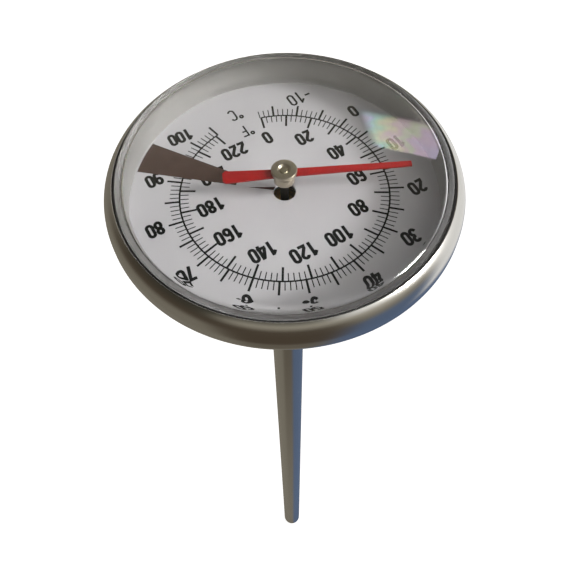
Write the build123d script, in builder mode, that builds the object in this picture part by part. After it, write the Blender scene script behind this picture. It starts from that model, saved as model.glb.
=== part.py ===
"""Bimetal dial thermometer: a round 2 in head on the top of a long 1/4 in probe stem.

A bimetal coil in the bottom of the stem is held at its lower end by the tip plug. It winds up and
unwinds with temperature, and turns a thin spindle that runs up the stem to the red pointer. The
head is a stamped steel cup with the dial, a raised clear lens and a gasket, all clamped by one
rolled ring. The head can be turned on its bushing, against a friction washer and a disc spring,
while the hex nut is held still. That sets the reading.

Millimetres. Z = 0 is the end of the stem, +Z runs up the stem, and +Y is the dial's top, where a
clock has its twelve. The dial reads clockwise seen from above.
"""
import os
from math import acos, asin, atan2, cos, degrees, radians, sin, sqrt, tan

from build123d import *

os.makedirs("parts", exist_ok=True)

# ---- Overall sizes ---------------------------------------------------------------------------
head_diameter = 51.0  # over the rolled ring
stem_diameter = 6.35
dial_height = 226.0  # from the stem's end to the dial's face

# ---- Fits: every gap between neighbouring pieces is one of these ------------------------------
seat_gap = 0.02  # faces that are stacked or clamped together
slip_gap = 0.03  # round pieces that are pushed, rolled or brazed together
turning_gap = 0.05  # round pieces that turn on each other
loose_gap = 0.10  # round pieces dropped in with play

# ---- Rolled ring ------------------------------------------------------------------------------
ring_sheet = 0.55
lip_width = 1.65  # how far the ring's upper lip reaches in over the gasket
crown_radius = 3.6  # outside of the upper bend
crown_height = 2.32  # of the upper bend's centre, above the dial's face
curl_radius = 2.0  # outside of the lower bend
curl_height = 1.54  # of the lower bend's centre, above the dial's face
curl_angle = 50.0  # how far the lower edge is rolled in under the cup's rim

# ---- Cup --------------------------------------------------------------------------------------
case_sheet = 0.5
ledge_width = 2.9  # the step that the dial lies on
pan_depth = 3.1  # from the step down to the floor's inside
cup_corner = 0.3  # inside bend between the step and the wall
cup_bend = 0.4  # inside of the other bends
pan_corner = 1.0
rim_overlap = 0.4  # how far the cup's wall goes up past the upper bend's centre
flare_clearance = 0.1  # between the ring's rolled edge and the wall's widening above it

# ---- Dial, lens and gasket --------------------------------------------------------------------
dial_sheet = 0.5
dial_hole_diameter = 3.2
gasket_width = 0.35  # of the line seen between the lens and the ring's lip
gasket_height = 5.2  # of its top, above the dial's face
lens_height = 6.6  # of the lens's top, above the dial's face
lens_roof = 1.3
lens_wall = 1.1
lens_shoulder_radius = 1.5
lens_inner_radius = 0.4  # of the inside corner
flange_height = 3.85  # of the flange's top, above the dial's face
flange_sheet = 1.25
flange_corner = 0.3

# ---- Pointer, hub and spindle -----------------------------------------------------------------
spindle_diameter = 1.2
spindle_stand = 4.75  # of the spindle's top, above the dial's face
rest_reading = 66.0  # degrees Fahrenheit
top_reading = 110.0  # at twelve o'clock
degrees_per_reading = 1.5  # of dial angle for each degree Fahrenheit
pointer_height = 3.87  # of the pointer's underside, above the dial's face
pointer_sheet = 0.3
pointer_reach = 18.0
tail_reach = 8.6
tip_width = 0.85
arm_width = 1.33
tail_root_width = 1.28
tail_end_width = 2.07
tail_corner = 0.35
pointer_eye_diameter = 2.5
hub_diameter = 3.0
hub_bottom = 2.6  # of the hub's disc, above the dial's face
hub_boss_diameter = 2.0
hub_boss_length = 0.35
cap_diameter = 3.66
cap_sheet = 0.58
cap_boss_diameter = 2.4
cap_boss_length = 0.13
cap_round = 0.15
cap_dimple_diameter = 1.9
cap_dimple_depth = 0.3

# ---- Stem, coil and guides --------------------------------------------------------------------
stem_wall = 0.4
neck_step = 0.2  # the tube's radius is swaged down by this much where it enters the bushing
nose_length = 3.2  # of the tip plug's bare end
nose_radius = 2.2
spigot_length = 4.8  # of the plug inside the tube
post_length = 5.5  # of the plug's post inside the coil
strip_thickness = 0.25
strip_width = 2.2
coil_pitch = 3.6
coil_turns = 12
coil_to_tube = 0.45
coil_start = 10.0
collar_length = 5.5
collar_overlap = 3.6  # how far the collar reaches down into the coil
guide_length = 4.0
guide_above_coil = 6.0

# ---- Bushing, washers and nut -----------------------------------------------------------------
sleeve_wall = 1.0
sleeve_length = 7.35  # below the bushing's flange
bushing_flange_width = 1.8
bushing_flange_sheet = 1.0
friction_washer_sheet = 0.4
spring_sheet = 0.35
spring_rise = 0.25
nut_across_flats = 12.7
nut_height = 5.0
nut_chamfer = 0.5
nut_face_inset = 0.1  # of the nut's round end face, inside its flats

# ---- Radii and heights that follow from them --------------------------------------------------
dial_face = dial_height
dial_back = dial_face - dial_sheet
head_radius = head_diameter / 2
lip_radius = head_radius - lip_width
crown_r, crown_z = head_radius - crown_radius, dial_face + crown_height
curl_r, curl_z = head_radius - curl_radius, dial_face + curl_height
crown_inner = crown_radius - ring_sheet
curl_inner = curl_radius - ring_sheet
curl_end_r = curl_r + curl_inner * cos(radians(curl_angle))
curl_end_z = curl_z - curl_inner * sin(radians(curl_angle))

ledge_z = dial_back - seat_gap
floor_z = ledge_z - pan_depth
floor_under = floor_z - case_sheet
cup_wall = curl_end_r - slip_gap - case_sheet
cup_rim = head_radius - ring_sheet - turning_gap - case_sheet
pan_wall = cup_wall - ledge_width
rim_top = crown_z + rim_overlap
flare_start = curl_end_z + flare_clearance
flare_end = curl_z - flare_clearance

neck_radius = lip_radius - gasket_width
lens_top = dial_face + lens_height
lens_foot = dial_face + seat_gap
flange_top = dial_face + flange_height

stem_radius = stem_diameter / 2
stem_inner = stem_radius - stem_wall
neck_outer = stem_radius - neck_step
neck_inner = neck_outer - stem_wall
sleeve_radius = stem_radius + sleeve_wall
flange_radius = sleeve_radius + bushing_flange_width
flange_under = floor_z + friction_washer_sheet + 2 * seat_gap
bushing_top = flange_under + bushing_flange_sheet
sleeve_bottom = flange_under - sleeve_length
spring_top = floor_under - seat_gap
nut_top = spring_top - spring_sheet - spring_rise - seat_gap
nut_under = nut_top - nut_height
nut_bore = sleeve_radius + slip_gap
nut_face = nut_across_flats / 2 - nut_face_inset
spring_inside = sleeve_radius + loose_gap
spring_outside = nut_face - loose_gap

spindle_radius = spindle_diameter / 2
coil_outer = stem_inner - coil_to_tube
coil_inner = coil_outer - strip_thickness
coil_length = coil_pitch * coil_turns
coil_top = coil_start + coil_length
guide_bottom = coil_top + collar_length - collar_overlap + guide_above_coil
guide_top = bushing_top - guide_length
guide_middle = (guide_bottom + guide_top) / 2


def on_circle(center_r, center_z, radius, at_r):
    """Height of a circle's upper half at a distance from the stem's centre line."""
    return center_z + sqrt(radius**2 - (at_r - center_r) ** 2)


def dial_direction(reading):
    """Direction on the dial, as (x, y), of a reading in degrees Fahrenheit."""
    turn = radians((reading - top_reading) * degrees_per_reading)
    return sin(turn), cos(turn)


def save(piece, name):
    """Label a finished piece and write it to its own STEP file."""
    piece.part.label = name
    export_step(piece.part, f"parts/{name}.step")


# ---- Rolled ring: one bent steel sheet that clamps lens, gasket, dial and cup together ---------
lip_top = on_circle(crown_r, crown_z, crown_radius, lip_radius)
lip_under = on_circle(crown_r, crown_z, crown_inner, lip_radius)
lip_angle = degrees(acos((lip_radius - crown_r) / crown_radius))
lip_angle_inner = degrees(acos((lip_radius - crown_r) / crown_inner))
with BuildPart() as bezel_ring:
    with BuildSketch(Plane.XZ):
        with BuildLine():
            CenterArc((crown_r, crown_z), crown_radius, 0, lip_angle)
            Line((head_radius, crown_z), (head_radius, curl_z))
            lower_bend = CenterArc((curl_r, curl_z), curl_radius, 0, -curl_angle)
            lower_bend_inside = CenterArc((curl_r, curl_z), curl_inner, 0, -curl_angle)
            Line(lower_bend @ 1, lower_bend_inside @ 1)
            Line((head_radius - ring_sheet, curl_z), (head_radius - ring_sheet, crown_z))
            CenterArc((crown_r, crown_z), crown_inner, 0, lip_angle_inner)
            Line((lip_radius, lip_under), (lip_radius, lip_top))
        make_face()
    revolve(axis=Axis.Z)
save(bezel_ring, "bezel_ring")

# ---- Cup: the stamped steel body of the head, with a step for the dial and a flared rim --------
flare_angle = atan2(cup_rim - cup_wall, flare_end - flare_start)
flare_shift = case_sheet * tan(flare_angle / 2)
cup_hole = sleeve_radius + loose_gap
with BuildPart() as case_cup:
    with BuildSketch(Plane.XZ):
        with BuildLine():
            inside = FilletPolyline(
                (cup_hole, floor_z),
                (pan_wall, floor_z),
                (pan_wall, ledge_z),
                (cup_wall, ledge_z),
                (cup_wall, flare_start + flare_shift),
                (cup_rim, flare_end + flare_shift),
                (cup_rim, rim_top),
                radius=[pan_corner, cup_bend + case_sheet, cup_corner, cup_bend + case_sheet,
                        cup_bend],
            )
            outside = FilletPolyline(
                (cup_hole, floor_under),
                (pan_wall + case_sheet, floor_under),
                (pan_wall + case_sheet, ledge_z - case_sheet),
                (cup_wall + case_sheet, ledge_z - case_sheet),
                (cup_wall + case_sheet, flare_start),
                (cup_rim + case_sheet, flare_end),
                (cup_rim + case_sheet, rim_top),
                radius=[pan_corner + case_sheet, cup_bend, cup_corner + case_sheet, cup_bend,
                        cup_bend + case_sheet],
            )
            Line(inside @ 0, outside @ 0)
            Line(inside @ 1, outside @ 1)
        make_face()
    revolve(axis=Axis.Z)
save(case_cup, "case_cup")

# ---- Dial: a printed aluminium disc on the cup's step ------------------------------------------
with BuildPart() as dial_plate:
    with BuildSketch(Plane.XY.offset(dial_back)):
        Circle(cup_wall - cup_corner - seat_gap)
        Circle(dial_hole_diameter / 2, mode=Mode.SUBTRACT)
    extrude(amount=dial_sheet)
save(dial_plate, "dial_plate")

# ---- Lens: a moulded clear cap whose skirt stands on the dial's edge ---------------------------
with BuildPart() as lens:
    with BuildSketch(Plane.XZ):
        with BuildLine():
            FilletPolyline(
                (0, lens_top),
                (neck_radius, lens_top),
                (neck_radius, flange_top),
                (cup_rim - loose_gap, flange_top),
                (cup_rim - loose_gap, flange_top - flange_sheet),
                (neck_radius, flange_top - flange_sheet),
                (neck_radius, lens_foot),
                (neck_radius - lens_wall, lens_foot),
                (neck_radius - lens_wall, lens_top - lens_roof),
                (0, lens_top - lens_roof),
                radius=[lens_shoulder_radius, 0, flange_corner, flange_corner, 0, 0, 0,
                        lens_inner_radius],
            )
            Line((0, lens_top), (0, lens_top - lens_roof))
        make_face()
    revolve(axis=Axis.Z)
save(lens, "lens")

# ---- Gasket: black rubber, squeezed between the lens's flange and the ring's lip ---------------
gasket_under = flange_top + seat_gap
gasket_arc = crown_inner - slip_gap
gasket_reach = crown_r + sqrt(gasket_arc**2 - (gasket_under - crown_z) ** 2)
gasket_throat = lip_radius - slip_gap
gasket_bend_start = degrees(asin((gasket_under - crown_z) / gasket_arc))
gasket_bend_end = degrees(acos((gasket_throat - crown_r) / gasket_arc))
with BuildPart() as lens_gasket:
    with BuildSketch(Plane.XZ):
        with BuildLine():
            bend = CenterArc(
                (crown_r, crown_z), gasket_arc, gasket_bend_start,
                gasket_bend_end - gasket_bend_start,
            )
            Polyline(
                bend @ 1,
                (gasket_throat, dial_face + gasket_height),
                (neck_radius + slip_gap, dial_face + gasket_height),
                (neck_radius + slip_gap, gasket_under),
                bend @ 0,
            )
        make_face()
    revolve(axis=Axis.Z)
save(lens_gasket, "lens_gasket")

# ---- Bushing: brazed to the stem, it carries the head and takes the nut ------------------------
with BuildPart() as stem_bushing:
    with BuildSketch(Plane.XY.offset(sleeve_bottom)):
        Circle(sleeve_radius)
    extrude(amount=flange_under - sleeve_bottom)
    with BuildSketch(Plane.XY.offset(flange_under)):
        Circle(flange_radius)
    extrude(amount=bushing_flange_sheet)
    with BuildSketch(Plane.XY.offset(sleeve_bottom)):
        Circle(neck_outer + slip_gap)
    extrude(amount=bushing_top - sleeve_bottom, mode=Mode.SUBTRACT)
save(stem_bushing, "stem_bushing")

# ---- Friction washer: fibre, between the bushing's flange and the cup's floor ------------------
with BuildPart() as friction_washer:
    with BuildSketch(Plane.XY.offset(floor_z + seat_gap)):
        Circle(flange_radius)
        Circle(sleeve_radius + loose_gap, mode=Mode.SUBTRACT)
    extrude(amount=friction_washer_sheet)
save(friction_washer, "friction_washer")

# ---- Disc spring: a coned steel washer that keeps the head tight on the bushing ----------------
with BuildPart() as disc_spring:
    with BuildSketch(Plane.XZ):
        with BuildLine():
            Polyline(
                (spring_inside, spring_top - spring_sheet),
                (spring_outside, spring_top - spring_sheet - spring_rise),
                (spring_outside, spring_top - spring_rise),
                (spring_inside, spring_top),
                close=True,
            )
        make_face()
    revolve(axis=Axis.Z)
save(disc_spring, "disc_spring")

# ---- Hex nut: held with a wrench while the head is turned to set the reading -------------------
nut_corner = nut_across_flats / sqrt(3)
with BuildPart() as calibration_nut:
    with BuildSketch(Plane.XY.offset(nut_under)):
        RegularPolygon(nut_across_flats / 2, 6, major_radius=False)
        Circle(nut_bore, mode=Mode.SUBTRACT)
    extrude(amount=nut_height)
    with BuildSketch(Plane.XZ):
        with BuildLine():
            Polyline(
                (0, nut_under),
                (nut_face, nut_under),
                (nut_corner, nut_under + nut_chamfer),
                (nut_corner, nut_top - nut_chamfer),
                (nut_face, nut_top),
                (0, nut_top),
                close=True,
            )
        make_face()
    revolve(axis=Axis.Z, mode=Mode.INTERSECT)
save(calibration_nut, "calibration_nut")

# ---- Stem tube: thin drawn steel, swaged down a little where it enters the bushing -------------
neck_start = sleeve_bottom - seat_gap
swage_shift = stem_wall * tan(radians(22.5))  # keeps the wall's thickness round the 45 degree slope
with BuildPart() as stem_tube:
    with BuildSketch(Plane.XZ):
        with BuildLine():
            Polyline(
                (stem_inner, nose_length),
                (stem_radius, nose_length),
                (stem_radius, neck_start - neck_step),
                (neck_outer, neck_start),
                (neck_outer, bushing_top),
                (neck_inner, bushing_top),
                (neck_inner, neck_start - swage_shift),
                (stem_inner, neck_start - swage_shift - neck_step),
                close=True,
            )
        make_face()
    revolve(axis=Axis.Z)
save(stem_tube, "stem_tube")

# ---- Tip plug: closes the tube with a rounded nose and holds the coil's lower end on a post ----
spigot_top = nose_length + spigot_length
with BuildPart() as tip_plug:
    with BuildSketch(Plane.XZ):
        with BuildLine():
            FilletPolyline(
                (0, 0),
                (stem_radius, 0),
                (stem_radius, nose_length - seat_gap),
                (stem_inner - slip_gap, nose_length - seat_gap),
                (stem_inner - slip_gap, spigot_top),
                (coil_inner - slip_gap, spigot_top),
                (coil_inner - slip_gap, spigot_top + post_length),
                (0, spigot_top + post_length),
                radius=[nose_radius, 0, 0, 0, 0, 0],
            )
            Line((0, 0), (0, spigot_top + post_length))
        make_face()
    revolve(axis=Axis.Z)
save(tip_plug, "tip_plug")

# ---- Bimetal coil: a two-layer strip that winds up as it warms ---------------------------------
coil_middle = (coil_inner + coil_outer) / 2
with BuildPart() as bimetal_coil:
    with BuildLine():
        coil_path = Helix(coil_pitch, coil_length, coil_middle, center=(0, 0, coil_start))
    with BuildSketch(Plane(coil_path @ 0, x_dir=(1, 0, 0), z_dir=coil_path % 0)):
        Rectangle(strip_thickness, strip_width)
    sweep(is_frenet=True)
save(bimetal_coil, "bimetal_coil")

# ---- Spindle: a thin steel rod from the coil up to the hub -------------------------------------
spindle_bottom = coil_top - collar_overlap
spindle_top = dial_face + spindle_stand
with BuildPart() as spindle:
    with BuildSketch(Plane.XY.offset(spindle_bottom)):
        Circle(spindle_radius)
    extrude(amount=spindle_top - spindle_bottom)
    chamfer(spindle.faces().sort_by(Axis.Z)[-1].edges(), spindle_radius / 5)
save(spindle, "spindle")

# ---- Collar: welded into the coil's upper end, it carries the spindle --------------------------
with BuildPart() as spindle_collar:
    with BuildSketch(Plane.XY.offset(spindle_bottom)):
        Circle(coil_inner - slip_gap)
        Circle(spindle_radius + slip_gap, mode=Mode.SUBTRACT)
    extrude(amount=collar_length)
save(spindle_collar, "spindle_collar")

# ---- Guides: three brass bushes in the tube that keep the spindle on the centre line -----------
guides = {
    "lower": (guide_bottom, stem_inner),
    "middle": (guide_middle, stem_inner),
    "upper": (guide_top, neck_inner),
}
for place, (height, tube_bore) in guides.items():
    with BuildPart() as guide_bush:
        with BuildSketch(Plane.XY.offset(height)):
            Circle(tube_bore - slip_gap)
            Circle(spindle_radius + turning_gap, mode=Mode.SUBTRACT)
        extrude(amount=guide_length)
    save(guide_bush, f"{place}_guide_bush")

# ---- Hub, pointer and cap: pressed on the spindle above the dial -------------------------------
hub_bore = spindle_radius + slip_gap
hub_bottom_z = dial_face + hub_bottom
pointer_z = dial_face + pointer_height
hub_top_z = pointer_z - seat_gap
with BuildPart() as pointer_hub:
    with BuildSketch(Plane.XY.offset(hub_bottom_z - hub_boss_length)):
        Circle(hub_boss_diameter / 2)
    extrude(amount=hub_boss_length)
    with BuildSketch(Plane.XY.offset(hub_bottom_z)):
        Circle(hub_diameter / 2)
    extrude(amount=hub_top_z - hub_bottom_z)
    with BuildSketch(Plane.XY.offset(hub_bottom_z - hub_boss_length)):
        Circle(hub_bore)
    extrude(amount=hub_boss_length + hub_top_z - hub_bottom_z, mode=Mode.SUBTRACT)
save(pointer_hub, "pointer_hub")

pointer_x, pointer_y = dial_direction(rest_reading)
pointer_plane = Plane((0, 0, pointer_z), x_dir=(pointer_x, pointer_y, 0), z_dir=(0, 0, 1))
with BuildPart() as pointer:
    with BuildSketch(pointer_plane):
        with BuildLine():
            Polyline(
                (pointer_reach, 0),
                (pointer_reach, tip_width / 2),
                (0, arm_width / 2),
                (0, tail_root_width / 2),
                (tail_corner - tail_reach, tail_end_width / 2),
                (-tail_reach, tail_end_width / 2 - tail_corner),
                (-tail_reach, 0),
            )
            mirror(about=Plane.XZ)
        make_face()
        Circle(pointer_eye_diameter / 2)
        Circle(hub_bore, mode=Mode.SUBTRACT)
    extrude(amount=pointer_sheet)
save(pointer, "pointer")

cap_z = pointer_z + pointer_sheet + seat_gap
cap_top = cap_z + cap_boss_length + cap_sheet
with BuildPart() as hub_cap:
    with BuildSketch(Plane.XZ):
        with BuildLine():
            FilletPolyline(
                (hub_bore, cap_z),
                (cap_boss_diameter / 2, cap_z),
                (cap_boss_diameter / 2, cap_z + cap_boss_length),
                (cap_diameter / 2, cap_z + cap_boss_length),
                (cap_diameter / 2, cap_top),
                (cap_dimple_diameter / 2, cap_top),
                (hub_bore, cap_top - cap_dimple_depth),
                radius=[0, 0, 0, cap_round, 0],
            )
            Line((hub_bore, cap_top - cap_dimple_depth), (hub_bore, cap_z))
        make_face()
    revolve(axis=Axis.Z)
save(hub_cap, "hub_cap")
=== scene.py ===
"""Bimetal dial thermometer with a long probe stem, in metres. Each section below makes one piece."""
from math import cos, pi, radians, sin

import bmesh
import bpy
import numpy as np
from mathutils import Matrix, Vector


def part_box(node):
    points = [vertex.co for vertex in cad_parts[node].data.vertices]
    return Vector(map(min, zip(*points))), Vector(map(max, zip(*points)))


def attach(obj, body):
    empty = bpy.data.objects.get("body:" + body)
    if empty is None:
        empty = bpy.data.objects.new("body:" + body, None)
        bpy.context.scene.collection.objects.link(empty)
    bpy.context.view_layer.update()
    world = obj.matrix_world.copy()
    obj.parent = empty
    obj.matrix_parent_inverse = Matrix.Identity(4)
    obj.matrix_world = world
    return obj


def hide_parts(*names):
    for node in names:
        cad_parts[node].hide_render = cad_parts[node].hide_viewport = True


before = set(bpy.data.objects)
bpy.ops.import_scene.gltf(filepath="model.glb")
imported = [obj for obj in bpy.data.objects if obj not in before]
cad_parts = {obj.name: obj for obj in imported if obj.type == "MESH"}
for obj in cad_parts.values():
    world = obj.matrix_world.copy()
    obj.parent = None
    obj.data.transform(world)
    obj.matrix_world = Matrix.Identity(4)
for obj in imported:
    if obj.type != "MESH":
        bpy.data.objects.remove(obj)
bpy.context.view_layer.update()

# ---- The room ---------------------------------------------------------------------------------
# A pale floor under the stem's end, a soft daylight room around it and two windows. Bearings run
# clockwise round the stem from the dial's top, and heights are angles above the dial.
MM = 0.001
dial_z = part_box("dial_plate")[1].z
dial_centre = Vector((0, 0, dial_z))


def toward(bearing, height):
    """Unit vector at a bearing and a height, both in degrees."""
    b, h = radians(bearing), radians(height)
    return Vector((sin(b) * cos(h), cos(b) * cos(h), sin(h)))


class Value:
    """One socket of a node tree. Arithmetic on it adds the Math nodes that work it out."""

    def __init__(self, mix, socket):
        self.mix, self.socket = mix, socket

    def math(self, operation, *others):
        """The Math node of this operation on this value and the others."""
        return self.mix.node("Math", {"operation": operation}, [self, *others])

    def __add__(self, other):
        return self.math("ADD", other)

    def __sub__(self, other):
        return self.math("SUBTRACT", other)

    def __rsub__(self, other):
        return self.mix.node("Math", {"operation": "SUBTRACT"}, [other, self])

    def __mul__(self, other):
        return self.math("MULTIPLY", other)

    def __truediv__(self, other):
        return self.math("DIVIDE", other)

    __radd__, __rmul__ = __add__, __mul__

    def ramp(self, low, high):
        """0 where the value is low, 1 where it is high, and a soft step between."""
        return self.mix.node("MapRange", {"interpolation_type": "SMOOTHSTEP"}, {
            "Value": self, "From Min": low, "From Max": high})


class Mix:
    """A node tree being mixed. node() adds one node and gives its output back as a Value."""

    def __init__(self, tree):
        self.tree = tree

    def node(self, kind, settings=None, inputs=(), output=0):
        """One node: its settings are set first, a ramp's two end stops before the rest, and then
        each socket is given its value or its link."""
        made = self.tree.nodes.new("ShaderNode" + kind)
        for name, setting in (settings or {}).items():
            if name == "stops":
                ramp = made.color_ramp
                for place, colour in setting[2:]:
                    ramp.elements.new(place).color = (*colour, 1)
                for element, (place, colour) in zip(
                        (ramp.elements[0], ramp.elements[-1]), setting[:2]):
                    element.position, element.color = place, (*colour, 1)
            else:
                setattr(made, name, setting)
        pairs = inputs.items() if isinstance(inputs, dict) else enumerate(inputs)
        for name, given in pairs:
            self.feed(made.inputs[name], given)
        return Value(self, made.outputs[output])

    def feed(self, socket, given):
        """Links a Value to a socket, or sets the socket to a plain number or colour."""
        if isinstance(given, Value):
            self.tree.links.new(given.socket, socket)
        else:
            socket.default_value = given

    def blend(self, share, first, second):
        """A colour that is the first where share is 0 and the second where it is 1."""
        first, second = ((*c, 1) if isinstance(c, tuple) else c for c in (first, second))
        factor, colour_a, colour_b, colour_out = 0, 6, 7, 2
        return self.node("Mix", {"data_type": "RGBA"}, {
            factor: share, colour_a: first, colour_b: second}, colour_out)

    def axes(self, vector):
        """The three parts of a vector."""
        parts = self.tree.nodes.new("ShaderNodeSeparateXYZ")
        self.feed(parts.inputs[0], vector)
        return [Value(self, part) for part in parts.outputs]


class Finish(Mix):
    """A material with one main shader. Values that are the same all over are set when it is made."""

    def __init__(self, name, **constants):
        self.material = bpy.data.materials.new(name)
        self.material.use_nodes = True
        super().__init__(self.material.node_tree)
        self.shader = self.tree.nodes["Principled BSDF"]
        self.set(**constants)
        self.place = self.node("TexCoord", output="Object")

    def set(self, **sockets):
        """Feeds the main shader's sockets, named with _ for a space."""
        for name, given in sockets.items():
            given = (*given, 1) if isinstance(given, tuple) else given
            self.feed(self.shader.inputs[name.replace("_", " ")], given)

    def noise(self, scale, detail=3.0, stretch=None, vector=None):
        """Cloudy variation from 0 to 1, optionally stretched by a factor along each axis."""
        vector = vector or self.place
        if stretch:
            vector = self.node("Mapping", inputs={"Vector": vector, "Scale": stretch})
        return self.node("TexNoise", inputs={"Vector": vector, "Scale": scale, "Detail": detail})

    def bump(self, height, distance, strength=1.0):
        """Shallow relief where height changes, as deep as the distance in metres."""
        normal = self.node("Bump", inputs={
            "Height": height, "Distance": distance, "Strength": strength})
        self.set(Normal=normal)


floor_mesh = bpy.data.meshes.new("floor")
floor_half = 1.6
floor_mesh.from_pydata([(x * floor_half, y * floor_half, -0.2 * MM)
                        for x, y in ((-1, -1), (1, -1), (1, 1), (-1, 1))], [], [(0, 1, 2, 3)])
floor = bpy.data.objects.new("floor", floor_mesh)
bpy.context.scene.collection.objects.link(floor)
paper = Finish("white_paper", Base_Color=(0.93, 0.93, 0.93), Roughness=0.9,
               Emission_Color=(1.0, 1.0, 1.0), Emission_Strength=0.9)
floor_mesh.materials.append(paper.material)
floor.visible_glossy = False

world = bpy.data.worlds.new("daylight_room")
bpy.context.scene.world = world
world.use_nodes = True
room = Mix(world.node_tree)
backdrop = world.node_tree.nodes["Background"]
flat_x, flat_y, rise = room.axes(room.node("TexCoord", output="Generated"))


def distance_of(x, y):
    """Distance from the stem's line: the root of x squared and y squared added up."""
    return (x * x + y * y).math("SQRT")


across = distance_of(flat_x, flat_y) + 0.0001


def facing(bearing):
    """How squarely a direction faces a bearing: 1 along it, 0 across it, -1 away from it."""
    ahead = toward(bearing, 0)
    return (flat_x * ahead.x + flat_y * ahead.y) / across


def heights(*stops):
    """Colours of a side of the room by height: the sine of the height is the ramp's place."""
    stops = [(place / 2 + 0.5, colour) for place, colour in stops]
    stops = [stops[0], stops[-1], *stops[1:-1]]
    return room.node("ValToRGB", {"stops": stops}, [rise * 0.5 + 0.5])


# The room's few colours, from a dark wooden wall to a white one.
shade, dark_wood, warm_grey = (0.04, 0.04, 0.03), (0.09, 0.07, 0.05), (0.24, 0.22, 0.18)
pale_wall, white_wall, ceiling = (0.45, 0.42, 0.35), (1.0, 1.0, 1.0), (0.28, 0.28, 0.28)
cool_blue = (0.12, 0.17, 0.28)
left_side = heights((-1.0, warm_grey), (-0.3, warm_grey), (0.0, dark_wood), (0.7, shade), (1.0, ceiling))
near_side = heights((-1.0, warm_grey), (-0.8, dark_wood), (0.2, dark_wood), (0.5, pale_wall),
                    (0.8, shade), (1.0, ceiling))
blue_side = heights((-1.0, cool_blue), (-0.3, cool_blue), (0.0, warm_grey), (0.4, pale_wall),
                    (0.6, white_wall), (0.8, white_wall), (1.0, ceiling))
right_side = heights((-1.0, cool_blue), (-0.8, cool_blue), (-0.6, white_wall), (0.4, white_wall),
                     (0.6, ceiling), (1.0, ceiling))
far_side = heights((-1.0, warm_grey), (0.1, warm_grey), (0.6, pale_wall), (0.8, shade), (1.0, ceiling))
walls = room.blend(facing(90).ramp(0.4, 0.9), far_side, left_side)
walls = room.blend(facing(285).ramp(0.5, 0.8), walls, right_side)
walls = room.blend(facing(335).ramp(0.8, 0.95), walls, blue_side)
walls = room.blend(facing(30).ramp(0.7, 0.95), walls, near_side)
seen = room.node("LightPath", output="Is Camera Ray")
backdrop_colour = room.blend(seen, walls, (1.0, 1.0, 1.0))
room.feed(backdrop.inputs["Color"], backdrop_colour)
backdrop.inputs["Strength"].default_value = 1.0


def window(name, bearing, height, distance, size, watts, colour, spread=pi):
    """A soft rectangular lamp that faces the dial from a bearing and a height."""
    lamp = bpy.data.lights.new(name, "AREA")
    lamp.shape, lamp.size, lamp.size_y = "RECTANGLE", size[0], size[1]
    lamp.energy, lamp.color, lamp.spread = watts, colour, spread
    held = bpy.data.objects.new(name, lamp)
    held.location = dial_centre + toward(bearing, height) * distance
    held.rotation_euler = toward(bearing, height).to_track_quat("Z", "Y").to_euler()
    bpy.context.scene.collection.objects.link(held)
    return held


window("side_window", 311, 33, 0.25, (0.075, 0.056), 0.043, (1.0, 0.985, 0.975), radians(44))

# A far window, whose panes show in the lens with the pale colours of stressed plastic.
pane_centre = dial_centre + Vector((-16, 2, 6)) * MM
pane_far = 1.2
pane_corners = [toward(b, h) * pane_far for b, h in ((217, 42), (230, 42), (230, 46), (220, 46))]
pane_mesh = bpy.data.meshes.new("far_window")
pane_mesh.from_pydata([pane_centre + corner for corner in pane_corners], [], [(0, 1, 2, 3)])
pane_mesh.uv_layers.new(name="panes").data.foreach_set("uv", [0, 0, 1, 0, 1, 1, 0, 1])
pane = bpy.data.objects.new("far_window", pane_mesh)
bpy.context.scene.collection.objects.link(pane)
pane.visible_diffuse = pane.visible_camera = pane.visible_shadow = False
daylight = Finish("far_window_light", Base_Color=(0.0, 0.0, 0.0), Emission_Strength=3.3)
along, above, _ = daylight.axes(daylight.node("TexCoord", output="UV"))
hue = along * 0.8 + above * 0.2 + daylight.noise(24.0, 3.0, (1.0, 1.0, 2.5)) * 0.8 - 0.35
tints = daylight.node("ValToRGB", {"stops": [
    (0.0, (0.80, 0.62, 0.78)), (1.0, (0.80, 0.70, 0.95)), (0.10, (0.62, 0.62, 0.94)),
    (0.20, (0.46, 0.86, 0.82)), (0.32, (0.58, 0.90, 0.60)), (0.44, (0.94, 0.90, 0.56)),
    (0.56, (0.92, 0.66, 0.76)), (0.68, (0.76, 0.86, 0.58)), (0.80, (0.90, 0.66, 0.84))]}, [hue])
upright_bars = (along * 9.0).math("FRACT").ramp(0.0, 0.16)
level_bars = (above * 6.0).math("FRACT").ramp(0.0, 0.2)
bars = upright_bars * level_bars * 0.3 + 0.7
edges = along.ramp(0.0, 0.18) * above.ramp(0.0, 0.22) * bars
daylight.set(Emission_Color=daylight.blend(edges, (0.0, 0.0, 0.0), tints))
pane_mesh.materials.append(daylight.material)

# ---- Camera -----------------------------------------------------------------------------------
# Held close to the dial, over its top edge, and aimed a little way down the stem, so that the
# head is large and the stem runs away to a small end.
camera_data = bpy.data.cameras.new("close_view")
camera_data.lens, camera_data.sensor_width = 40.7, 36.0
camera_data.clip_start = 0.005
camera = bpy.data.objects.new("close_view", camera_data)
camera.location = dial_centre + Vector((0, 0, 0.6 * MM)) + toward(28.0, 50.9) * 95.5 * MM
aim = Vector((-0.2 * MM, 0.1 * MM, dial_z - 26.8 * MM))
look = (camera.location - aim).to_track_quat("Z", "Y").to_matrix()
camera.rotation_euler = (look @ Matrix.Rotation(radians(-1.1), 3, "Z")).to_euler()
bpy.context.scene.collection.objects.link(camera)
bpy.context.scene.camera = camera
bpy.context.scene.view_settings.view_transform = "Standard"

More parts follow.
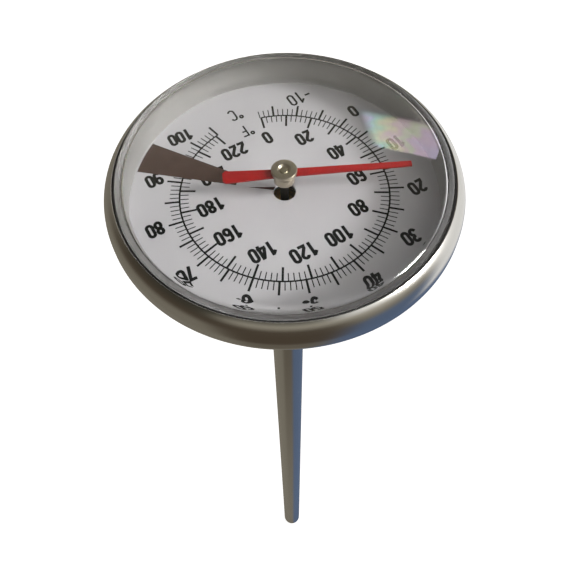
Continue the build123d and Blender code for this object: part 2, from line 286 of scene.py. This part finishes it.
# ---- Rolled ring ------------------------------------------------------------------------------
# One strip of stainless steel bent over the gasket and rolled in under the cup's rim. Tumbled to
# a satin finish, with fine marks that run round it.
head_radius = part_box("bezel_ring")[1].x / MM
lip_radius = head_radius - 1.65
ring_sheet = 0.55
crown_radius, crown_rise = 3.6, 2.32
curl_radius, curl_rise, curl_angle = 2.0, 1.54, 50.0
dial = dial_z / MM


def arc(centre_r, centre_z, radius, start, end, steps=18):
    """Points of an arc, as (distance from the stem's line, height), from one angle to another."""
    t = np.radians(np.linspace(start, end, steps))
    return np.column_stack((centre_r + radius * np.cos(t), centre_z + radius * np.sin(t)))


def rounded(corners, steps=5):
    """An outline whose corners (distance, height, radius) are rounded by arcs of their radius."""
    points = np.array([c[:2] for c in corners], float)
    outline = []
    for i, (here, radius) in enumerate(zip(points, (c[2] for c in corners))):
        if radius == 0:
            outline.append(here[None])
            continue
        back, ahead = points[i - 1] - here, points[(i + 1) % len(points)] - here
        back, ahead = back / np.linalg.norm(back), ahead / np.linalg.norm(ahead)
        half = np.arccos(np.clip(back @ ahead, -1, 1)) / 2
        middle = here + (back + ahead) / np.linalg.norm(back + ahead) * radius / np.sin(half)
        first, last = here + back * radius / np.tan(half), here + ahead * radius / np.tan(half)
        turn = np.linspace(0, 1, steps + 1)[:, None]
        spoke = (1 - turn) * (first - middle) + turn * (last - middle)
        outline.append(middle + spoke / np.linalg.norm(spoke, axis=1)[:, None] * radius)
    return np.concatenate(outline)


sharp_from = radians(35.0)


def piece(name, vertices, faces, body, stands_for=()):
    """A finished piece from vertices in millimetres, riding on its body in place of CAD nodes."""
    mesh = bpy.data.meshes.new(name)
    mesh.from_pydata(np.asarray(vertices, float) * MM, [], faces)
    made = bpy.data.objects.new(name, mesh)
    bpy.context.scene.collection.objects.link(made)
    mesh.validate()
    mesh.shade_smooth()
    mesh.set_sharp_from_angle(angle=sharp_from)
    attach(made, body)
    if stands_for:
        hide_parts(*stands_for)
    return made


def turned(name, outline, body, stands_for=(), spokes=192):
    """A closed outline (distance, height) carried round the stem's line. Each row of the grid is
    one point of the outline: (distance cos a, distance sin a, height). The last row joins the
    first, unless the outline starts and ends on the line itself."""
    outline = np.asarray(outline, float)
    area = np.sum(outline[:, 0] * np.roll(outline[:, 1], -1)
                  - np.roll(outline[:, 0], -1) * outline[:, 1])
    outline = outline if area > 0 else outline[::-1]
    angle = np.arange(spokes) * 2 * pi / spokes
    grid = np.stack([np.outer(outline[:, 0], np.cos(angle)),
                     np.outer(outline[:, 0], np.sin(angle)),
                     np.outer(outline[:, 1], np.ones(spokes))], axis=-1)
    rows = len(outline)
    index = np.arange(rows * spokes).reshape(rows, spokes)
    up, on = np.roll(index, -1, 0), np.roll(index, -1, 1)
    solid = outline[0, 0] == 0 and outline[-1, 0] == 0
    faces = np.stack([index, on, np.roll(up, -1, 1), up], -1)[:rows - solid].reshape(-1, 4)
    made = piece(name, grid.reshape(-1, 3), faces.tolist(), body, stands_for)
    close_poles(made)
    return made


def close_poles(made):
    """Joins the points that meet on the stem's line and drops the faces that closed up there."""
    work = bmesh.new()
    work.from_mesh(made.data)
    bmesh.ops.remove_doubles(work, verts=work.verts, dist=1e-7)
    work.to_mesh(made.data)
    work.free()


crown = head_radius - crown_radius, dial + crown_rise
curl = head_radius - curl_radius, dial + curl_rise
lip_angle = np.degrees(np.arccos((lip_radius - crown[0]) / crown_radius))
lip_inner_angle = np.degrees(np.arccos((lip_radius - crown[0]) / (crown_radius - ring_sheet)))
edge = 1.5
ring_outline = np.concatenate([
    arc(*crown, crown_radius, lip_angle - edge, 0, 40),
    arc(*curl, curl_radius, 0, -curl_angle + edge, 20),
    arc(*curl, curl_radius - ring_sheet, -curl_angle, 0, 16),
    arc(*crown, crown_radius - ring_sheet, 0, lip_inner_angle, 24),
    [(lip_radius, dial + 5.26)],
])
bezel = turned("rolled_ring", ring_outline, "head", ["bezel_ring"], 256)


def round_marks(finish, across, along):
    """Fine marks that run round the stem's line: cloudy variation that changes fast across the
    marks, by the height less the distance, and slowly along them, by the bearing."""
    x, y, z = finish.axes(finish.place)
    distance = distance_of(x, y)
    spot = finish.node("CombineXYZ", inputs=[
        x / distance * along, y / distance * along, (z - distance) * across])
    return finish.node("TexNoise", inputs={"Vector": spot, "Scale": 1.0, "Detail": 4.0})


satin = Finish("satin_stainless", Base_Color=(0.60, 0.585, 0.55), Metallic=1.0)
marks = round_marks(satin, 4000.0, 1.2)
satin.set(Roughness=marks * 0.10 + satin.noise(60.0) * 0.06 + 0.14)
satin.bump(marks, 0.004 * MM, 0.5)
bezel.data.materials.append(satin.material)

# ---- Cup ----------------------------------------------------------------------------------------
# Drawn from one steel disc: a floor with a hole for the bushing, a step for the dial, and a wall
# that flares out so that the rolled ring can hold it.
case_sheet, bush_hole = 0.5, 4.275
wall = curl[0] + (curl_radius - ring_sheet) * cos(radians(curl_angle)) - 0.03
rim = head_radius - ring_sheet - 0.05
floor_top = dial - 3.62
ledge = dial - 0.52
pan = wall - case_sheet - 2.9
curl_end = curl[1] - (curl_radius - ring_sheet) * sin(radians(curl_angle))
cup_corners = [
    (bush_hole, floor_top - case_sheet, 0.1), (pan + case_sheet, floor_top - case_sheet, 1.5),
    (pan + case_sheet, ledge - case_sheet, 0.4), (wall, ledge - case_sheet, 0.8),
    (wall, curl_end + 0.1, 0.4), (rim, curl[1] - 0.1, 0.9), (rim, crown[1] + 0.4, 0.1),
    (rim - case_sheet, crown[1] + 0.4, 0.1), (rim - case_sheet, curl[1] + 0.04, 0.4),
    (wall - case_sheet, curl_end + 0.24, 0.9), (wall - case_sheet, ledge, 0.3),
    (pan, ledge, 0.9), (pan, floor_top, 1.0), (bush_hole, floor_top, 0.1)]
cup = turned("drawn_cup", rounded(cup_corners), "head", ["case_cup"], 256)
drawn = Finish("drawn_stainless", Base_Color=(0.56, 0.55, 0.53), Metallic=1.0)
spun = round_marks(drawn, 2500.0, 0.8)
drawn.set(Roughness=spun * 0.10 + 0.32)
drawn.bump(spun, 0.002 * MM, 0.5)
cup.data.materials.append(drawn.material)

# ---- Lens ---------------------------------------------------------------------------------------
# A clear moulded polycarbonate cap with a rounded shoulder, whose skirt stands on the dial's edge.
neck = lip_radius - 0.35
lens_top, lens_roof, lens_wall = dial + 6.6, 1.3, 1.1
flange_top, flange_sheet = dial + 3.85, 1.25
flange_edge = rim - case_sheet - 0.1
lens_corners = [
    (0.0, lens_top, 0), (neck, lens_top, 1.5), (neck, flange_top, 0.08),
    (flange_edge, flange_top, 0.3), (flange_edge, flange_top - flange_sheet, 0.3),
    (neck, flange_top - flange_sheet, 0.08), (neck, dial + 0.02, 0.08),
    (neck - lens_wall, dial + 0.02, 0.08), (neck - lens_wall, lens_top - lens_roof, 0.4),
    (0.0, lens_top - lens_roof, 0)]
lens = turned("clear_lens", rounded(lens_corners, 12), "head", ["lens"], 256)
clear = Finish("clear_polycarbonate", Base_Color=(0.97, 0.975, 0.97), Roughness=0.0, IOR=1.58,
               Transmission_Weight=1.0)
clear_out = next(node for node in clear.tree.nodes if node.type == "OUTPUT_MATERIAL")
lamp_ray = clear.node("LightPath", output="Is Shadow Ray")
lens_x, lens_y, lens_z = clear.axes(clear.place)
from_middle = distance_of(lens_x, lens_y)
in_wall = from_middle.ramp(20.0 * MM, 22.0 * MM)
above_skirt = lens_z.ramp((dial + 4.9) * MM, (dial + 5.15) * MM)
in_skirt = from_middle.ramp(22.2 * MM, 22.35 * MM) * (1.0 - above_skirt)
clear.set(Roughness=in_skirt * 0.55)
through = clear.node("MixShader", inputs=[
    in_wall, clear.node("BsdfTransparent", inputs={"Color": (0.93, 0.93, 0.93, 1.0)}),
    clear.node("BsdfTransparent", inputs={"Color": (0.22, 0.21, 0.205, 1.0)})])
milky = clear.node("BsdfDiffuse", inputs={"Color": (0.48, 0.47, 0.46, 1.0)})
moulded = clear.node("MixShader", inputs=[
    in_skirt * 0.14, Value(clear, clear.shader.outputs[0]), milky])
both = clear.node("MixShader", inputs=[lamp_ray, moulded, through])
clear.feed(clear_out.inputs["Surface"], both)
lens.data.materials.append(clear.material)

# ---- Gasket -------------------------------------------------------------------------------------
# A black rubber ring squeezed between the lens's flange and the ring's lip.
gasket_corners = [
    (neck + 0.03, flange_top + 0.02, 0), (neck + 0.95, flange_top + 0.02, 0),
    (lip_radius - 0.03, dial + 4.65, 0.3), (lip_radius - 0.03, dial + 5.2, 0.1),
    (neck + 0.03, dial + 5.2, 0.1)]
gasket = turned("rubber_gasket", rounded(gasket_corners), "head", ["lens_gasket"])
rubber = Finish("black_rubber")
rubber.set(Base_Color=rubber.blend(rubber.noise(600.0), (0.009, 0.0085, 0.008), (0.016, 0.015, 0.014)),
           Roughness=rubber.noise(1500.0) * 0.2 + 0.45)
rubber.bump(rubber.noise(2200.0, 2.0), 0.01 * MM, 0.4)
gasket.data.materials.append(rubber.material)

# ---- Dial ---------------------------------------------------------------------------------------
# An aluminium disc in satin white enamel, with a hole for the spindle's hub. It is clamped on the
# cup's step by the foot of the lens.
dial_hole, dial_sheet = 1.6, 0.5
dial_edge = wall - case_sheet - 0.32
dial_corners = [(dial_hole, dial - dial_sheet, 0.05), (dial_edge, dial - dial_sheet, 0.05),
                (dial_edge, dial, 0.05), (dial_hole, dial, 0.05)]
plate = turned("enamel_dial", rounded(dial_corners), "head", ["dial_plate"])
enamel = Finish("white_enamel")
patches = enamel.noise(180.0, 2.0)
enamel.set(Base_Color=enamel.blend(patches, (0.50, 0.49, 0.51), (0.56, 0.555, 0.57)),
           Roughness=enamel.noise(900.0) * 0.15 + 0.35)
enamel.bump(enamel.noise(1400.0, 2.0), 0.01 * MM, 0.35)
plate.data.materials.append(enamel.material)

# ---- Printing on the dial -----------------------------------------------------------------------
# Black ink, screened on the enamel: Fahrenheit marks inside one circle and Celsius marks outside
# it, with their figures. Twelve o'clock is 110 F and each degree Fahrenheit is a turn of 1.5.
ink_low, ink_high = dial - 0.004, dial + 0.010
circle_radius = 15.2
degrees_per_f = 1.5


def bearing_of(fahrenheit):
    """The dial's angle, clockwise from its top, of a reading."""
    return degrees_per_f * (np.asarray(fahrenheit, float) - 110.0)


def polar(radius, bearing):
    """Points at a radius and a bearing on the dial: (radius sin bearing, radius cos bearing)."""
    b = np.radians(bearing)
    return np.stack(np.broadcast_arrays(radius * np.sin(b), radius * np.cos(b)), -1)


def ribbon(line, width, closed=False):
    """Both edges of a stroke, half its width to each side of a line. At a bend the edge goes out
    along the mean of the two normals, by half the width over the cosine of half the turn."""
    line = np.asarray(line, float)
    if closed:
        step = np.roll(line, -1, 0) - line
        before = np.roll(step, 1, 0)
    else:
        step = np.diff(line, axis=0)
        before, step = np.vstack((step[:1], step)), np.vstack((step, step[-1:]))
    before = before / np.linalg.norm(before, axis=1)[:, None]
    after = step / np.linalg.norm(step, axis=1)[:, None]
    mean = before + after
    mean = mean / np.linalg.norm(mean, axis=1)[:, None]
    normal = np.column_stack((-mean[:, 1], mean[:, 0]))
    reach = width / 2 / np.clip(np.sum(mean * after, 1), 0.6, 1)[:, None]
    return line + normal * reach, line - normal * reach


def band(left, right, low, high, closed=False):
    """A thin closed slab between two edges of equally many points: a ring of four points at each
    place along it (left low, right low, right high, left high), joined to the next ring."""
    count = len(left)
    rows = [np.column_stack((side, np.full(count, z))) for side, z in
            ((left, low), (right, low), (right, high), (left, high))]
    vertices = np.stack(rows, 1).reshape(-1, 3)
    ring = np.arange(count * 4).reshape(count, 4)
    after = np.roll(ring, -1, 0)
    here = ring if closed else ring[:-1]
    after = after if closed else after[:-1]
    faces = np.stack([here, after, np.roll(after, -1, 1), np.roll(here, -1, 1)], -1).reshape(-1, 4)
    if not closed:
        faces = np.vstack((faces, ring[0], ring[-1][::-1]))
    return vertices, faces


def gathered(pieces_of_mesh):
    """Many (vertices, faces) as one: each one's faces count on from the vertices before it."""
    counts = np.cumsum([0] + [len(v) for v, _ in pieces_of_mesh[:-1]])
    return (np.concatenate([v for v, _ in pieces_of_mesh]),
            np.concatenate([f + n for (_, f), n in zip(pieces_of_mesh, counts)]))


def printed(name, strokes):
    """Strokes (line, width, closed) printed on the dial as one thin piece of ink."""
    vertices, faces = gathered([band(*ribbon(line, width, closed), ink_low, ink_high, closed)
                                for line, width, closed in strokes])
    return piece(name, vertices, faces.tolist(), "head")


def marks_along(readings, inner, outer, width):
    """Straight marks that point at the dial's centre, one at each reading."""
    ends = np.stack((polar(inner, bearing_of(readings)), polar(outer, bearing_of(readings))), 1)
    return [(pair, width, False) for pair in ends]


def as_f(celsius):
    """A reading in degrees Celsius as degrees Fahrenheit."""
    return 32 + 1.8 * celsius


fine_width, long_width = 0.15, 0.32
fine_f = [f for f in range(0, 221, 2) if f % 10]
long_f = list(range(0, 221, 10))
fine_c = [as_f(c) for c in range(-18, 106) if c % 5]
long_c = [as_f(c) for c in range(-15, 106, 5)]
scale_line = polar(circle_radius, bearing_of(np.linspace(0, 221, 180)))
scale = printed("scale_marks", [
    (scale_line, 0.25, False),
    *marks_along(fine_f, circle_radius - 1.3, circle_radius, fine_width),
    *marks_along(long_f, circle_radius - 2.25, circle_radius, long_width),
    *marks_along(fine_c, circle_radius, circle_radius + 1.4, fine_width),
    *marks_along(long_c, circle_radius, circle_radius + 2.15, long_width)])


def bend(x, y, wide, up, start, end, steps=12):
    """Part of an oval round (x, y), as points: x + wide cos t and y + up sin t, as the angle t goes
    from the start to the end."""
    t = np.radians(np.linspace(start, end, steps))
    return np.column_stack((x + wide * np.cos(t), y + up * np.sin(t)))


# Figures as the middle lines of their strokes, in a box half as wide as it is high.
def joined(*runs):
    """Runs of points as one open stroke."""
    return np.vstack(runs), False


bowl = bend(0.25, 0.30, 0.165, 0.215, 0, 345, 24), True
six = [bowl, joined(bend(0.25, 0.73, 0.165, 0.185, 20, 180), [(0.085, 0.30)])]
zero = np.vstack((bend(0.25, 0.74, 0.165, 0.175, 0, 180), bend(0.25, 0.26, 0.165, 0.175, 180, 360)))
figures = {
    "0": [(zero, True)],
    "1": [joined([(0.29, 0.0), (0.29, 1.0)]), joined([(0.08, 0.70), (0.24, 0.88)])],
    "2": [joined(bend(0.25, 0.74, 0.165, 0.175, 170, -25),
                 [(0.11, 0.24), (0.085, 0.085), (0.44, 0.085)])],
    "3": [joined(bend(0.25, 0.74, 0.165, 0.175, 165, -75), bend(0.25, 0.29, 0.165, 0.205, 75, -165))],
    "4": [joined([(0.37, 0.0), (0.37, 1.0)]),
          joined([(0.33, 0.95), (0.07, 0.33), (0.07, 0.24), (0.50, 0.24)])],
    "5": [joined([(0.44, 0.915), (0.12, 0.915), (0.10, 0.52)],
                 bend(0.25, 0.32, 0.165, 0.235, 115, -165))],
    "6": six,
    "7": [joined([(0.05, 0.915), (0.42, 0.915), (0.20, 0.0)])],
    "8": [(bend(0.25, 0.735, 0.155, 0.18, 0, 345, 24), True), bowl],
    "9": [((0.5, 1.0) - line, closed) for line, closed in six],
    "-": [joined([(0.10, 0.5), (0.42, 0.5)])],
    "F": [joined([(0.09, 0.0), (0.09, 1.0)]), joined([(0.09, 0.93), (0.46, 0.93)]),
          joined([(0.09, 0.52), (0.38, 0.52)])],
    "C": [joined(bend(0.25, 0.74, 0.18, 0.20, 15, 180), bend(0.25, 0.26, 0.18, 0.20, 180, 345))],
    "o": [(bend(0.32, 0.86, 0.10, 0.11, 0, 330, 12), True)],
}


def lettered(text, centre, height=2.45, weight=0.20, advance=0.54):
    """The strokes of a short label, upright on the dial and centred on a point."""
    strokes = []
    for place, letter in enumerate(text):
        start = np.array([(place - (len(text) - 1) / 2) * advance - 0.25, -0.5])
        for line, closed in figures[letter]:
            strokes.append((centre + (line + start) * height, weight * height, closed))
    return strokes


labels = []
for reading in range(0, 221, 20):
    labels += lettered(str(reading), polar(10.9, bearing_of(reading)))
for celsius in range(0, 101, 10):
    labels += lettered(str(celsius), polar(19.3, bearing_of(as_f(celsius))), 2.4, 0.20, 0.53)
labels += lettered("-10", (-11.4, -15.6), 2.6, 0.13)
labels += lettered("oF", (-0.9, -13.4), 2.3, 0.12) + lettered("oC", (-0.9, -17.3), 2.4, 0.12)
numbers = printed("scale_figures", labels)
ink = Finish("screened_ink", Specular_IOR_Level=0.12)
ink.set(Base_Color=ink.blend(ink.noise(2500.0), (0.002, 0.002, 0.002), (0.007, 0.0065, 0.007)),
        Roughness=ink.noise(1200.0) * 0.2 + 0.45)
for print_piece in (scale, numbers):
    print_piece.data.materials.append(ink.material)

# ---- Hot zone -----------------------------------------------------------------------------------
# A see-through brown sector printed over the marks from 196 F to 206 F, out to the dial's edge, and
# a short, thin dark red sliver laid on the dial from the hub's hole towards it.
zone_bearing = bearing_of(np.linspace(196.2, 206.2, 25))
zone_inner, zone_outer = 7.2, 22.2
vertices, faces = band(polar(zone_outer, zone_bearing), polar(zone_inner, zone_bearing),
                       ink_high + 0.004, ink_high + 0.016)
zone = piece("hot_zone", vertices, faces.tolist(), "head")
brown = Finish("brown_ink", Roughness=0.5, Alpha=0.86, Specular_IOR_Level=0.3)
brown.set(Base_Color=brown.blend(brown.noise(700.0), (0.052, 0.030, 0.022), (0.085, 0.052, 0.042)))
zone.data.materials.append(brown.material)
# The sliver: a thin dark red piece laid just over the dial, from the edge of the hub's hole out to 5.2
# mm, widest at the hole.
root_line = np.linspace(0, 1, 12)[:, None]
root_from, root_to = dial_hole + 0.02, 5.2
root_low = (1 - root_line) * polar(root_from, 131.0) + root_line * polar(root_to, 128.5)
root_high = (1 - root_line) * polar(root_from, 152.0) + root_line * polar(root_to, 128.9)
vertices, faces = band(root_low, root_high, ink_high - 0.002, ink_high + 0.008)
root = piece("zone_root", vertices, faces.tolist(), "head")
dark_red = Finish("dark_red_sliver", Specular_IOR_Level=0.2)
sliver_red = dark_red.blend(dark_red.noise(900.0), (0.030, 0.006, 0.005), (0.050, 0.012, 0.009))
dark_red.set(Base_Color=sliver_red, Roughness=dark_red.noise(1200.0) * 0.2 + 0.45)
root.data.materials.append(dark_red.material)

# ---- Hub, cap and pointer -----------------------------------------------------------------------
# A turned brass hub in dull nickel is pressed on the spindle. The red pointer is stamped from thin
# aluminium and held on the hub by a dimpled cap.
hub_low, pointer_low = dial + 2.6, dial + 3.87
bore = 0.63
hub_corners = [(bore, hub_low - 0.35, 0), (1.0, hub_low - 0.35, 0.06), (1.0, hub_low, 0.02),
               (1.5, hub_low, 0.08), (1.5, pointer_low - 0.02, 0.08), (bore, pointer_low - 0.02, 0)]
hub = turned("nickel_hub", rounded(hub_corners), "pointer", ["pointer_hub"], 96)
cap_low = pointer_low + 0.32
cap_corners = [(bore, cap_low, 0), (1.2, cap_low, 0), (1.2, cap_low + 0.13, 0.02),
               (1.83, cap_low + 0.13, 0.08), (1.83, cap_low + 0.71, 0.15),
               (0.95, cap_low + 0.71, 0.12), (bore, cap_low + 0.41, 0)]
cap = turned("dimpled_cap", rounded(cap_corners, 6), "pointer", ["hub_cap"], 96)
nickel = Finish("dull_nickel", Metallic=1.0)
lathe = round_marks(nickel, 9000.0, 1.0)
nickel.set(Base_Color=nickel.blend(nickel.noise(1500.0), (0.44, 0.385, 0.29), (0.56, 0.50, 0.40)),
           Roughness=lathe * 0.12 + 0.24)
nickel.bump(lathe, 0.006 * MM, 0.6)
for turned_piece in (hub, cap):
    turned_piece.data.materials.append(nickel.material)

paint = Finish("red_paint", Specular_IOR_Level=0.35)
paint.set(Base_Color=paint.blend(paint.noise(500.0), (0.25, 0.003, 0.004), (0.35, 0.006, 0.006)),
          Roughness=paint.noise(1800.0) * 0.16 + 0.30)
paint.bump(paint.noise(2600.0, 2.0), 0.006 * MM, 0.5)


def finish_node(node, finish):
    """Gives a CAD node a finish in all of its material slots."""
    held = bpy.data.objects[node]
    if not held.material_slots:
        held.data.materials.append(finish.material)
    for slot in held.material_slots:
        slot.material = finish.material


finish_node("pointer", paint)
# The spindle's steel, with painted shade: dark below the cap, where the spindle sits in the shade of the
# hub and the dial's hole, and lighter at its top end, which shows in the cap's dimple.
shaded_spindle = Finish("spindle_steel_painted_shade", Metallic=1.0)
_, _, up_spindle = shaded_spindle.axes(shaded_spindle.place)
lit_end_share = up_spindle.ramp((dial + 4.35) * MM, (dial + 4.5) * MM)
painted_shade_tone = shaded_spindle.blend(shaded_spindle.noise(800.0), (0.030, 0.028, 0.030), (0.060, 0.055, 0.055))
shaded_spindle.set(Base_Color=shaded_spindle.blend(lit_end_share, painted_shade_tone, (0.40, 0.36, 0.25)),
          Roughness=shaded_spindle.noise(2000.0) * 0.15 + 0.35)
finish_node("spindle", shaded_spindle)

# ---- Stem ---------------------------------------------------------------------------------------
# A drawn stainless tube, swaged a little smaller where it goes up into the bushing. A solid plug
# with a rounded nose closes its lower end.
stem_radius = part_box("stem_tube")[1].x / MM
tube_low, tube_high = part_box("stem_tube")[0].z / MM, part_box("stem_tube")[1].z / MM
tube_wall, neck_at, swage = 0.4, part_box("stem_bushing")[0].z / MM - 0.22, 0.2
tube_bore, neck_radius = stem_radius - tube_wall, stem_radius - swage
tube_corners = [
    (tube_bore, tube_low, 0.03), (stem_radius, tube_low, 0.06),
    (stem_radius, neck_at, 0.3), (neck_radius, neck_at + swage, 0.3),
    (neck_radius, tube_high, 0.05), (neck_radius - tube_wall, tube_high, 0.05),
    (neck_radius - tube_wall, neck_at + swage, 0.3), (tube_bore, neck_at, 0.3)]
tube = turned("drawn_tube", rounded(tube_corners), "stem", ["stem_tube"], 96)
plug_fit, spigot_top, peg_radius, peg_top = tube_bore - 0.03, tube_low + 4.8, 2.045, tube_low + 10.3
plug_corners = [(0, 0, 0), (stem_radius, 0, 2.2), (stem_radius, tube_low - 0.02, 0.06),
                (plug_fit, tube_low - 0.02, 0), (plug_fit, spigot_top, 0.3),
                (peg_radius, spigot_top, 0), (peg_radius, peg_top, 0.3), (0, peg_top, 0)]
plug = turned("nose_plug", rounded(plug_corners, 12), "stem", ["tip_plug"], 96)
ground = Finish("polished_tube", Metallic=1.0)
drawn_lines = ground.noise(1.0, 4.0, (2600.0, 2600.0, 60.0))
wear = ground.noise(70.0, 3.0)
ground.set(Roughness=drawn_lines * 0.08 + wear * 0.08 + 0.15,
           Base_Color=ground.blend(wear, (0.56, 0.545, 0.51), (0.64, 0.625, 0.59)))
ground.bump(drawn_lines, 0.003 * MM, 0.4)
for stem_piece in (tube, plug):
    stem_piece.data.materials.append(ground.material)

# ---- Bushing, washers and nut -------------------------------------------------------------------
# A turned steel bushing goes down through the hole in the cup's floor, with a fine thread on its
# sleeve. A fibre washer above the floor and a disc spring below it are held by the hex nut.
sleeve_low, sleeve_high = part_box("stem_bushing")[0].z / MM, floor_top + 0.44
flange_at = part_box("stem_bushing")[1].z / MM
sleeve_radius, sleeve_bore = 4.175, neck_radius + 0.03
bush_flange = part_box("stem_bushing")[1].x / MM
spokes = 96
turn = np.arange(spokes) * 2 * pi / spokes
chamfer = 0.25
levels = np.concatenate(([sleeve_low], np.linspace(sleeve_low + chamfer, sleeve_high - 0.4, 140),
                         [sleeve_high - 0.02]))
# The thread's groove at each level and angle: a raised cosine of the level over the pitch less the
# angle's share of a turn, faded out over its run-out at both ends.
pitch, thread_depth, run_out = 0.75, 0.24, 0.4
phase = levels[:, None] / pitch - turn[None] / (2 * pi)
fade = (np.clip((levels - sleeve_low) / run_out, 0, 1)
        * np.clip((sleeve_high - 0.5 - levels) / run_out, 0, 1))
cut = thread_depth * fade[:, None] * (0.5 + 0.5 * np.cos(2 * pi * phase)) ** 1.3
cut[0] = chamfer


def ring_at(radius):
    """One radius, the same all the way round."""
    return np.full(spokes, radius)


rows = [(ring_at(sleeve_bore), sleeve_low), *zip(sleeve_radius - cut, levels)]
rows += [(ring_at(radius), z) for radius, z in (
    (bush_flange - 0.1, sleeve_high), (bush_flange, sleeve_high + 0.1),
    (bush_flange, flange_at - 0.1), (bush_flange - 0.1, flange_at), (sleeve_bore, flange_at))]


def ringed(name, rings, body, stands_for=()):
    """Rings of points (distances round it, height or heights) joined one to the next, and the last
    to the first: x = distance cos a, y = distance sin a."""
    grid = np.stack([np.stack((radius * np.cos(turn), radius * np.sin(turn),
                               np.broadcast_to(z, turn.shape)), -1) for radius, z in rings])
    index = np.arange(grid.size // 3).reshape(len(rings), spokes)
    up, on = np.roll(index, -1, 0), np.roll(index, -1, 1)
    faces = np.stack([index, on, np.roll(up, -1, 1), up], -1).reshape(-1, 4)
    return piece(name, grid.reshape(-1, 3), faces.tolist(), body, stands_for)


bushing = ringed("threaded_bushing", rows, "stem", ["stem_bushing"])
nut_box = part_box("calibration_nut")
nut_low, nut_high, half_flats = nut_box[0].z / MM, nut_box[1].z / MM, nut_box[1].y / MM
nut_bore, face_radius = 4.205, 6.25
hexagon = half_flats / np.cos(turn % (pi / 3) - pi / 6)
slope = (hexagon - face_radius) * 0.5 / (half_flats / cos(pi / 6) - face_radius)
nut = ringed("hex_nut", [
    (ring_at(nut_bore), nut_low + chamfer), (ring_at(nut_bore + chamfer), nut_low),
    (ring_at(face_radius), nut_low), (hexagon, nut_low + slope), (hexagon, nut_high - slope),
    (ring_at(face_radius), nut_high), (ring_at(nut_bore + chamfer), nut_high),
    (ring_at(nut_bore), nut_high - chamfer)], "stem", ["calibration_nut"])
spring_low, spring_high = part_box("disc_spring")[0].z / MM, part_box("disc_spring")[1].z / MM
spring_edge, spring_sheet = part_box("disc_spring")[1].x / MM, 0.35
spring_corners = [(bush_hole, spring_high - spring_sheet, 0.05), (spring_edge, spring_low, 0.05),
                  (spring_edge, spring_low + spring_sheet, 0.05), (bush_hole, spring_high, 0.05)]
spring = turned("coned_spring", rounded(spring_corners), "stem", ["disc_spring"], 96)
machined = Finish("machined_steel", Base_Color=(0.55, 0.54, 0.52), Metallic=1.0)
turning = round_marks(machined, 5000.0, 1.0)
machined.set(Roughness=turning * 0.14 + machined.noise(300.0) * 0.08 + 0.18)
machined.bump(turning, 0.008 * MM, 0.6)
for stem_piece in (bushing, nut, spring):
    stem_piece.data.materials.append(machined.material)
fibre = Finish("pressed_fibre", Roughness=0.8)
fibre.set(Base_Color=fibre.blend(fibre.noise(900.0), (0.24, 0.07, 0.04), (0.36, 0.13, 0.07)))
fibre.bump(fibre.noise(1500.0), 0.02 * MM)
finish_node("friction_washer", fibre)

# ---- Coil and guides ----------------------------------------------------------------------------
# Inside the stem: the bimetal strip, wound as an open spring with its two metals bonded back to
# back, and three brass guides that the spindle runs in.
strip = Finish("bimetal_strip", Metallic=1.0)
strip.set(Base_Color=strip.blend(strip.noise(1200.0), (0.42, 0.38, 0.34), (0.58, 0.54, 0.49)),
          Roughness=strip.noise(2500.0) * 0.15 + 0.3)
finish_node("bimetal_coil", strip)
brass = Finish("turned_brass", Metallic=1.0)
brass.set(Base_Color=brass.blend(brass.noise(900.0), (0.64, 0.43, 0.16), (0.78, 0.56, 0.25)),
          Roughness=round_marks(brass, 9000.0, 1.0) * 0.15 + 0.2)
for node in ("lower_guide_bush", "middle_guide_bush", "upper_guide_bush", "spindle_collar"):
    finish_node(node, brass)
